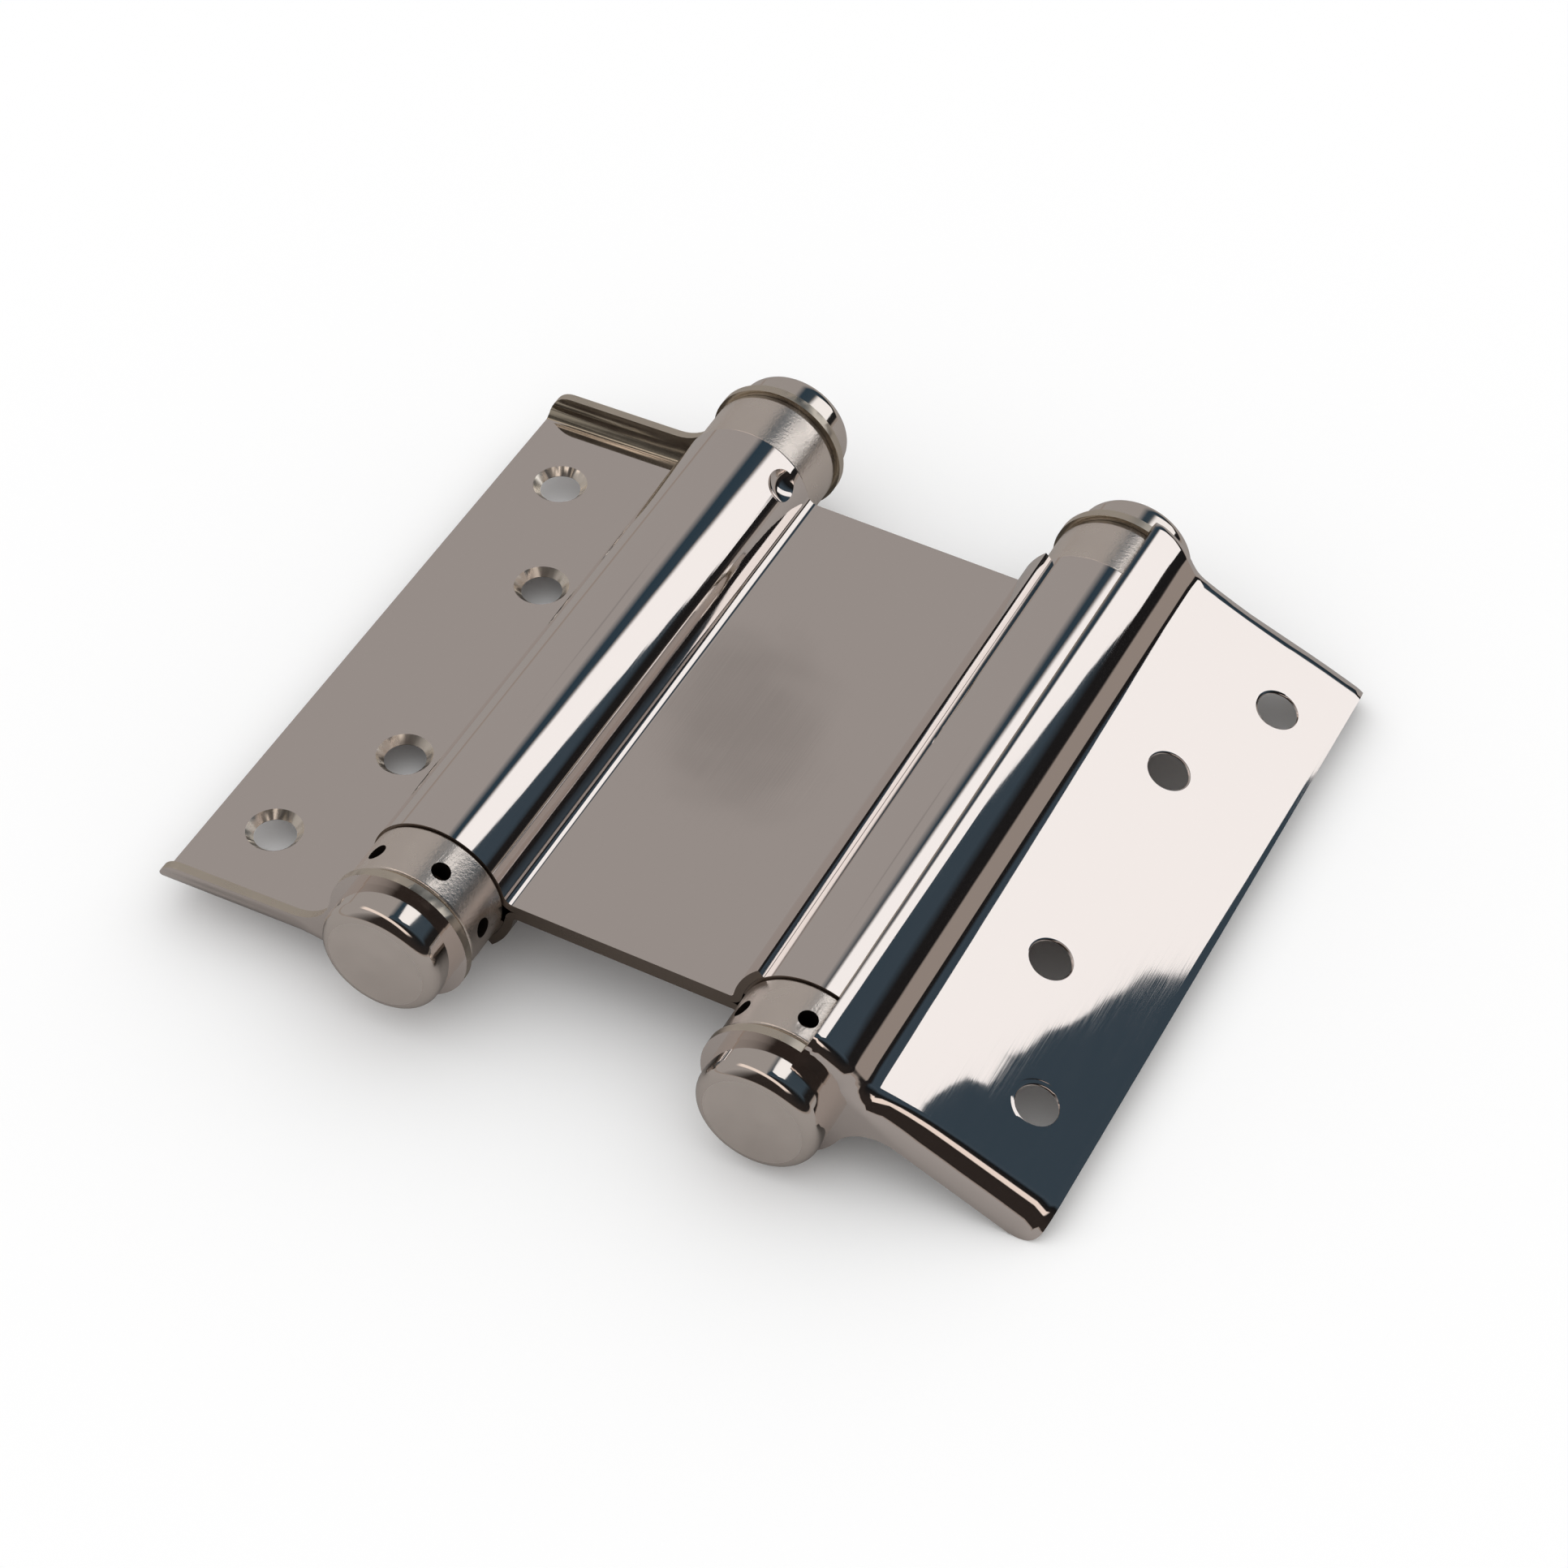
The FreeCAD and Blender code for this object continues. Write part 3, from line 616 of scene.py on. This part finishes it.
def webMesh(values):
    half, level = values["halfSpacing"], values["sheet"] / 2
    lip, bend = values["barrelRadius"] + values["seamGap"] + level, values["lipBend"] + level
    barrel, sweep = values["barrelRadius"] - level, values["rootBend"] + level
    lipCentre = (half - math.sqrt((lip + bend) ** 2 - (level + bend) ** 2), level + bend)
    rootCentre = (math.sqrt((barrel + sweep) ** 2 - (level + sweep) ** 2) - half, level + sweep)
    lipRoot, barrelRoot = clockOf(lipCentre, (half, 0)), clockOf(rootCentre, (-half, 0))
    shape = bmesh.new()
    corner = startOutline(shape, *polar(lip, values["lipFrom"], (half, 0)), y=-values["height"] / 2)
    corner = arcBy(shape, corner, (half, 0), lipRoot - values["lipFrom"], 16)
    corner = arcBy(shape, corner, lipCentre, 90 - lipRoot, 10)
    corner = lineTo(shape, corner, rootCentre[0], level)
    corner = arcBy(shape, corner, rootCentre, barrelRoot - 90, 12)
    arcBy(shape, corner, (-half, 0), values["barrelTo"] - barrelRoot, 110)
    made = bmesh.ops.extrude_edge_only(shape, edges=shape.edges[:])["geom"]
    bmesh.ops.translate(shape, vec=(0, values["height"], 0), verts=cornersOf(made))
    bmesh.ops.recalc_face_normals(shape, faces=shape.faces)
    blank = asObject(shape, "web_blank", webFinish)
    reach = values["barrelRadius"] - values["stakeDepth"] + values["stakeRadius"]
    spot = polar(reach, values["stakeAngle"], (-half, 0))
    ball = bmesh.new()
    bmesh.ops.create_icosphere(ball, subdivisions=5, radius=values["stakeRadius"])
    along = values["height"] / 2 - values["stakeInset"]
    bmesh.ops.translate(ball, vec=(spot[0], along, spot[1]), verts=ball.verts)
    tool = asObject(ball, "stake_ball", webFinish)
    addModifiers(blank, [
        ("SOLIDIFY", {"thickness": values["sheet"], "offset": 0.0, "use_even_offset": True,
                      "material_offset_rim": edgeFace}),
        ("BOOLEAN", {"operation": "DIFFERENCE", "solver": "EXACT", "object": tool}),
        ("BEVEL", {**smoothEdges, "width": values["edgeRound"]}),
    ])
    mesh = finishedMesh(blank)
    discard(blank, tool)
    # only the ends keep the painted shade: the long edges lie on the barrels and were polished with them
    for face in mesh.polygons:
        if abs(face.center.y) < values["height"] / 2 - values["endWidth"]:
            face.material_index = polishedFace
    return mesh


webBlank = webMesh(webShape)
place(webBlank, "left_web_sheet", placedAt(hinge["webMiddle"], -hinge["lean"]),
      "web", "polished_sheet", "web_sheet_left")
place(webBlank, "right_web_sheet", placedAt(hinge["webMiddle"], 180 - hinge["lean"]),
      "web", "polished_sheet", "web_sheet_right")
print("web made:", len(webBlank.polygons), "faces a sheet")


# collars: turned plugs that close the barrels and hold the spring's ends; the near ones turn
# and have six holes for the tommy bar that winds the spring

collarShape = {
    "bore": 3.56,
    "plugRadius": 8.06,         # inside the barrel
    "turningRadius": 8.0,       # the near collar turns, so it is a little slimmer
    "flangeRadius": 8.9,
    "inner": 40.35,             # where the shoulder stands on the barrel's rim
    "outer": 48.2,
    "plugEnd": 32.3,
    "turningEnd": 34.3,
    "rimRound": 0.5,
    "tommyRadius": 1.25,
    "tommyDepth": 3.6,
    "tommyPoint": 0.6,          # the drill's own point at the bottom of the hole
    "tommyInset": 3.1,
    "tommyCount": 6,
    "legPlace": 6.2,            # middle of the spring's wire, out from the axis
    "legRadius": 1.4,
    "legDepth": 3.4,
    "leftTurn": 8.0,            # clock angle of the first tommy hole
    "rightTurn": 18.6,
    "holeRound": 0.16,
}


def collarMesh(values, way, firstHole=None):
    # way is -1 for the near, adjusting collar and 1 for the far, fixed one, which has no tommy holes
    end = values["turningEnd"] if way < 0 else values["plugEnd"]
    plug = values["turningRadius"] if way < 0 else values["plugRadius"]
    bore, flange = values["bore"], values["flangeRadius"]
    inner, outer = way * values["inner"], way * values["outer"]
    shape = turnedShape([(bore, way * end), (plug, way * end), (plug, inner),
                         (flange, inner), (flange, outer), (bore, outer)], 128)
    blank = asObject(shape, "collar_blank", collarFinish)
    leg = turnedShape([(0, -values["legDepth"]), (values["legRadius"], -values["legDepth"]),
                       (values["legRadius"], values["legDepth"]), (0, values["legDepth"])], 32)
    bmesh.ops.translate(leg, vec=(values["legPlace"], way * end, 0), verts=leg.verts)
    tools = [asObject(leg, "leg_cutter", collarFinish)]
    if firstHole is not None:
        depth, radius = values["tommyDepth"], values["tommyRadius"]
        along = way * (values["outer"] - values["tommyInset"])
        for index in range(values["tommyCount"]):
            drill = turnedShape([(0, 0), (radius, values["tommyPoint"]), (radius, 2 * depth), (0, 2 * depth)],
                                40, axis="Z")
            clock = firstHole + 360 * index / values["tommyCount"]
            spot = polar(flange - depth, clock)
            outward = Matrix.Rotation(math.radians(90 - clock), 4, "Y")
            bmesh.ops.transform(drill, verts=drill.verts,
                                matrix=Matrix.Translation((spot[0], along, spot[1])) @ outward)
            for face in drill.faces:
                # the holes' walls take the painted shade
                face.material_index = holeFace
            tools.append(asObject(drill, "tommy_cutter", collarFinish))
    steps = [("BEVEL", {**smoothEdges, "width": values["rimRound"], "segments": 5})]
    steps += [("BOOLEAN", {"operation": "DIFFERENCE", "solver": "EXACT", "object": tool}) for tool in tools]
    steps.append(("BEVEL", {**smoothEdges, "width": values["holeRound"]}))
    addModifiers(blank, steps)
    mesh = finishedMesh(blank)
    discard(blank, *tools)
    return mesh


for side in ("left", "right"):
    onAxis = placedAt(hinge[side + "Axis"], -hinge["lean"])
    place(collarMesh(collarShape, 1), side + "_fixed_collar", onAxis,
          "web", "collar_steel", "fixed_collar_" + side)
    place(collarMesh(collarShape, -1, collarShape[side + "Turn"]), side + "_adjusting_collar", onAxis,
          side + "_collar", "collar_steel", "adjusting_collar_" + side)
print("collars made")


# caps: drawn cups that cover the spindles' riveted heads

capShape = {
    "radius": 8.0,
    "wall": 1.1,
    "base": 50.0,
    "length": 5.4,
    "crown": 0.12,              # the middle stands a little proud of the rim
    "round": 1.9,
    "blastedFrom": 0.985,       # how squarely a face must look along the axis to be blasted
}


def capMesh(values, way):
    # way is -1 for the near caps and 1 for the far ones
    radius, base, wall, turn = values["radius"], values["base"], values["wall"], values["round"]
    end = base + values["length"]
    inside, sideEnd = end - wall, end - values["crown"] - turn
    shape = bmesh.new()
    corner = first = startOutline(shape, radius - wall, base)
    corner = lineTo(shape, corner, radius, base)
    corner = lineTo(shape, corner, radius, sideEnd)
    corner = arcBy(shape, corner, (radius - turn, sideEnd), 90, 10)
    # halfway to the middle the crown has risen to three quarters
    corner = lineTo(shape, corner, (radius - turn) / 2, end - values["crown"] * 0.25)
    corner = lineTo(shape, corner, 0, end)
    corner = lineTo(shape, corner, 0, inside)
    corner = lineTo(shape, corner, radius - wall, inside)
    shape.edges.new((corner, first))
    spinRound(shape, 128)
    layAlongY(shape, way)
    bmesh.ops.recalc_face_normals(shape, faces=shape.faces)
    for face in shape.faces:
        blasted = abs(face.normal.y) > values["blastedFrom"]
        face.material_index = capEndFace if blasted else capSideFace
    blank = asObject(shape, "cap_blank", capFinish)
    mesh = finishedMesh(blank)
    discard(blank)
    return mesh


for side in ("left", "right"):
    onAxis = placedAt(hinge[side + "Axis"], -hinge["lean"])
    for end, way in (("near", -1), ("far", 1)):
        place(capMesh(capShape, way), f"{side}_{end}_end_cap", onAxis,
              side + "_leaf", "cap_steel", f"cap_{side}_{end}")
print("caps made")


# springs: the coiled wire is the frame's own

for side in ("left", "right"):
    coil = bpy.data.objects["spring_" + side]
    wire = bmesh.new()
    wire.from_mesh(coil.data)
    wire.transform(coil.matrix_world)
    bmesh.ops.remove_doubles(wire, verts=wire.verts, dist=1e-6)
    spring = asObject(wire, side + "_torsion_spring", [springSteel])
    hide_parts("spring_" + side)
    across, along, level = hinge[side + "Axis"]
    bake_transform(spring)
    print(side, "spring made:", len(spring.data.polygons), "faces")


# studio

# azimuths are in degrees from +Y towards +X; heights are sines of the elevation, in pairs:
# from where to where one tone gives way to the next one up
studio = {
    "wall": "#9D9996",              # grey paper behind and to the left
    "gap": "#2B3C48",               # the unlit room between paper and softbox
    "edge": "#3A4650",              # the same room to the right of the softbox
    "dark": "#141618",              # and farther round
    "behind": "#2C2623",            # the room behind the camera
    "table": "#948B84",             # far edge of the table, as the metal sees it
    "nearWallFrom": -155.0,
    "nearWallTo": -120.0,
    "gapFrom": -8.0,
    "gapTo": 4.0,
    "lowDark": 20.0,                # low down the room is dark from here on
    "darkFrom": 62.0,
    "darkTo": 85.0,
    "behindFrom": 150.0,
    "tableTop": (0.045, 0.075),
    "roomLift": (0.25, 0.38),
    "overhead": "#F2E4DA",          # strip lamp that runs from left to right, just behind the zenith
    "overheadAcross": (-0.344, -0.916, -0.205),
    "overheadHalf": (0.11, 0.17),   # sines of the angles where it is full and where it ends
    "overheadFrom": (0.6, 0.75),
    "smudge": (-23.2, 46.6),        # soft dark spot that the web mirrors, azimuth and elevation
    "smudgeHalf": (0.99999, 0.9997),    # cosines of the angles where it is darkest and where it ends
    "smudgeShare": 0.22,
    "softboxFacing": (27.0, 33.0),  # azimuth and elevation
    "softboxDistance": 0.45,        # metres, as its other lengths
    "softboxSize": (0.156, 0.41),
    "softboxShift": (0.025, 0.046),
    "softboxTurn": 12.0,            # degrees
    "softboxLevel": 1.0,
    "softboxFade": 0.03,            # its left edge is dimmer over this width
    "softboxEdgeShare": 0.12,
}


def direction(azimuth, elevation):
    a, e = math.radians(azimuth), math.radians(elevation)
    return Vector((math.sin(a) * math.cos(e), math.cos(a) * math.cos(e), math.sin(e)))


def between(tree, factor, first, second):
    # a mix of two colours, each a list or a socket
    node = addNode(tree, "ShaderNodeMix", {"data_type": "RGBA"}, {"Factor": factor, 6: first, 7: second})
    return node.outputs[2]


def buildWorld():
    world = bpy.data.worlds.new("studio")
    scene.world = world
    world.use_nodes = True
    tree = world.node_tree
    tree.nodes.clear()
    rays = addNode(tree, "ShaderNodeLightPath")
    generated = addNode(tree, "ShaderNodeTexCoord").outputs["Generated"]
    toward = addNode(tree, "ShaderNodeSeparateXYZ", inputs={"Vector": generated})
    shade = {name: colour(studio[name])
             for name in ("wall", "gap", "edge", "dark", "behind", "table", "overhead")}

    # the room, from the back of the camera round to it again
    azimuth = addNode(tree, "ShaderNodeMath", {"operation": "ARCTAN2"}, {
        0: toward.outputs["X"], 1: toward.outputs["Y"]})
    turn = addNode(tree, "ShaderNodeMapRange", inputs={
        "Value": azimuth.outputs["Value"], "From Min": -math.pi, "From Max": math.pi})

    def at(place, name):
        return ((studio[place] + 180) / 360, shade[name])

    left = [at("nearWallFrom", "behind"), at("nearWallTo", "wall"), at("gapFrom", "wall"), at("gapTo", "gap")]
    right = [at("darkFrom", "edge"), at("darkTo", "dark"), at("behindFrom", "behind")]
    high = ramp(tree, turn.outputs["Result"], left + right)
    low = ramp(tree, turn.outputs["Result"], left + [at("lowDark", "dark"), at("behindFrom", "behind")])
    lift = addNode(tree, "ShaderNodeMapRange", inputs={
        "Value": toward.outputs["Z"], "From Min": studio["roomLift"][0], "From Max": studio["roomLift"][1]})
    room = between(tree, lift.outputs["Result"], low, high)
    horizon = addNode(tree, "ShaderNodeMapRange", inputs={
        "Value": toward.outputs["Z"], "From Min": studio["tableTop"][0], "From Max": studio["tableTop"][1]})
    seen = between(tree, horizon.outputs["Result"], shade["table"], room)

    # the strip lamp overhead
    beside = addNode(tree, "ShaderNodeVectorMath", {"operation": "DOT_PRODUCT"}, {
        0: generated, 1: studio["overheadAcross"]})
    off = addNode(tree, "ShaderNodeMath", {"operation": "ABSOLUTE"}, {0: beside.outputs["Value"]})
    strip = addNode(tree, "ShaderNodeMapRange", {"interpolation_type": "SMOOTHSTEP"}, {
        "Value": off.outputs["Value"],
        "From Min": studio["overheadHalf"][0], "From Max": studio["overheadHalf"][1],
        "To Min": 1.0, "To Max": 0.0})
    above = addNode(tree, "ShaderNodeMapRange", {"interpolation_type": "SMOOTHSTEP"}, {
        "Value": toward.outputs["Z"],
        "From Min": studio["overheadFrom"][0], "From Max": studio["overheadFrom"][1],
        "To Max": strip.outputs["Result"]})
    lit = between(tree, above.outputs["Result"], seen, shade["overhead"])

    # the smudge
    spot = addNode(tree, "ShaderNodeVectorMath", {"operation": "DOT_PRODUCT"}, {
        0: generated, 1: direction(*studio["smudge"])})
    dulled = addNode(tree, "ShaderNodeMapRange", {"interpolation_type": "SMOOTHSTEP"}, {
        "Value": spot.outputs["Value"],
        "From Min": studio["smudgeHalf"][1], "From Max": studio["smudgeHalf"][0],
        "To Max": studio["smudgeShare"]})
    lit = between(tree, dulled.outputs["Result"], lit, shade["behind"])

    # only mirrored rays see the room: everything else is lit by white paper
    mirrored = addNode(tree, "ShaderNodeBackground", inputs={"Color": lit, "Strength": 1.0})
    paper = addNode(tree, "ShaderNodeBackground", inputs={"Color": colour("#FFFFFF"), "Strength": 1.0})
    mix = addNode(tree, "ShaderNodeMixShader", inputs={
        "Fac": rays.outputs["Is Glossy Ray"],
        1: paper.outputs["Background"], 2: mirrored.outputs["Background"]})
    addNode(tree, "ShaderNodeOutputWorld", inputs={"Surface": mix.outputs["Shader"]})


def buildSoftbox():
    facing = direction(*studio["softboxFacing"])
    azimuth = math.radians(studio["softboxFacing"][0])
    across = Vector((math.cos(azimuth), -math.sin(azimuth), 0))
    aimed = Matrix((across, across.cross(facing), -facing)).transposed().to_4x4()
    width, height = studio["softboxSize"]
    grid = bmesh.new()
    bmesh.ops.create_grid(grid, x_segments=1, y_segments=1, size=0.5)
    bmesh.ops.scale(grid, vec=(width, height, 1), verts=grid.verts)
    move = Matrix.Translation((*studio["softboxShift"], -studio["softboxDistance"]))
    turn = Matrix.Rotation(math.radians(studio["softboxTurn"]), 4, "Z")
    material, tree = newMaterial("softbox_cloth")
    place = addNode(tree, "ShaderNodeSeparateXYZ", inputs={
        "Vector": addNode(tree, "ShaderNodeTexCoord").outputs["Object"]})
    level = addNode(tree, "ShaderNodeMapRange", {"interpolation_type": "SMOOTHSTEP"}, {
        "Value": place.outputs["X"], "From Min": -width / 2, "From Max": -width / 2 + studio["softboxFade"],
        "To Min": studio["softboxLevel"] * studio["softboxEdgeShare"], "To Max": studio["softboxLevel"]})
    glow = addNode(tree, "ShaderNodeEmission", inputs={
        "Color": colour("#FFFFFF"), "Strength": level.outputs["Result"]})
    addNode(tree, "ShaderNodeOutputMaterial", inputs={"Surface": glow.outputs["Emission"]})
    softbox = asObject(grid, "softbox", [material])
    softbox.matrix_world = aimed @ move @ turn
    softbox.visible_camera = False
    softbox.visible_diffuse = False
    softbox.visible_shadow = False


def buildFloor(half=3.0):
    # half its width, in metres
    grid = bmesh.new()
    bmesh.ops.create_grid(grid, x_segments=1, y_segments=1, size=half)
    material, tree = newMaterial("pale_paper_table")
    rays = addNode(tree, "ShaderNodeLightPath")
    # white to the eye, and grey where the metal mirrors it
    tone = between(tree, rays.outputs["Is Glossy Ray"], colour("#FFFFFF"), colour(studio["wall"]))
    shader = addNode(tree, "ShaderNodeBsdfDiffuse", inputs={"Color": tone})
    addNode(tree, "ShaderNodeOutputMaterial", inputs={"Surface": shader.outputs["BSDF"]})
    asObject(grid, "table", [material])


buildWorld()
buildSoftbox()
buildFloor()
print("studio built")


# camera, where the photograph was taken from

view = {
    "place": (171.10, -328.78, 375.18),     # mm
    "turn": (44.918, 0.470, 26.931),        # degrees about X, Y and Z
    "lens": 96.12,                          # mm on a 36 mm sensor
}
lens = bpy.data.cameras.new("camera")
lens.lens = view["lens"]
lens.sensor_width = 36.0
lens.clip_start = 0.01
lens.clip_end = 20.0
camera = bpy.data.objects.new("camera", lens)
camera.location = [v * mm for v in view["place"]]
camera.rotation_euler = [math.radians(v) for v in view["turn"]]
scene.collection.objects.link(camera)
scene.camera = camera
scene.view_settings.view_transform = "Standard"
print("camera placed")
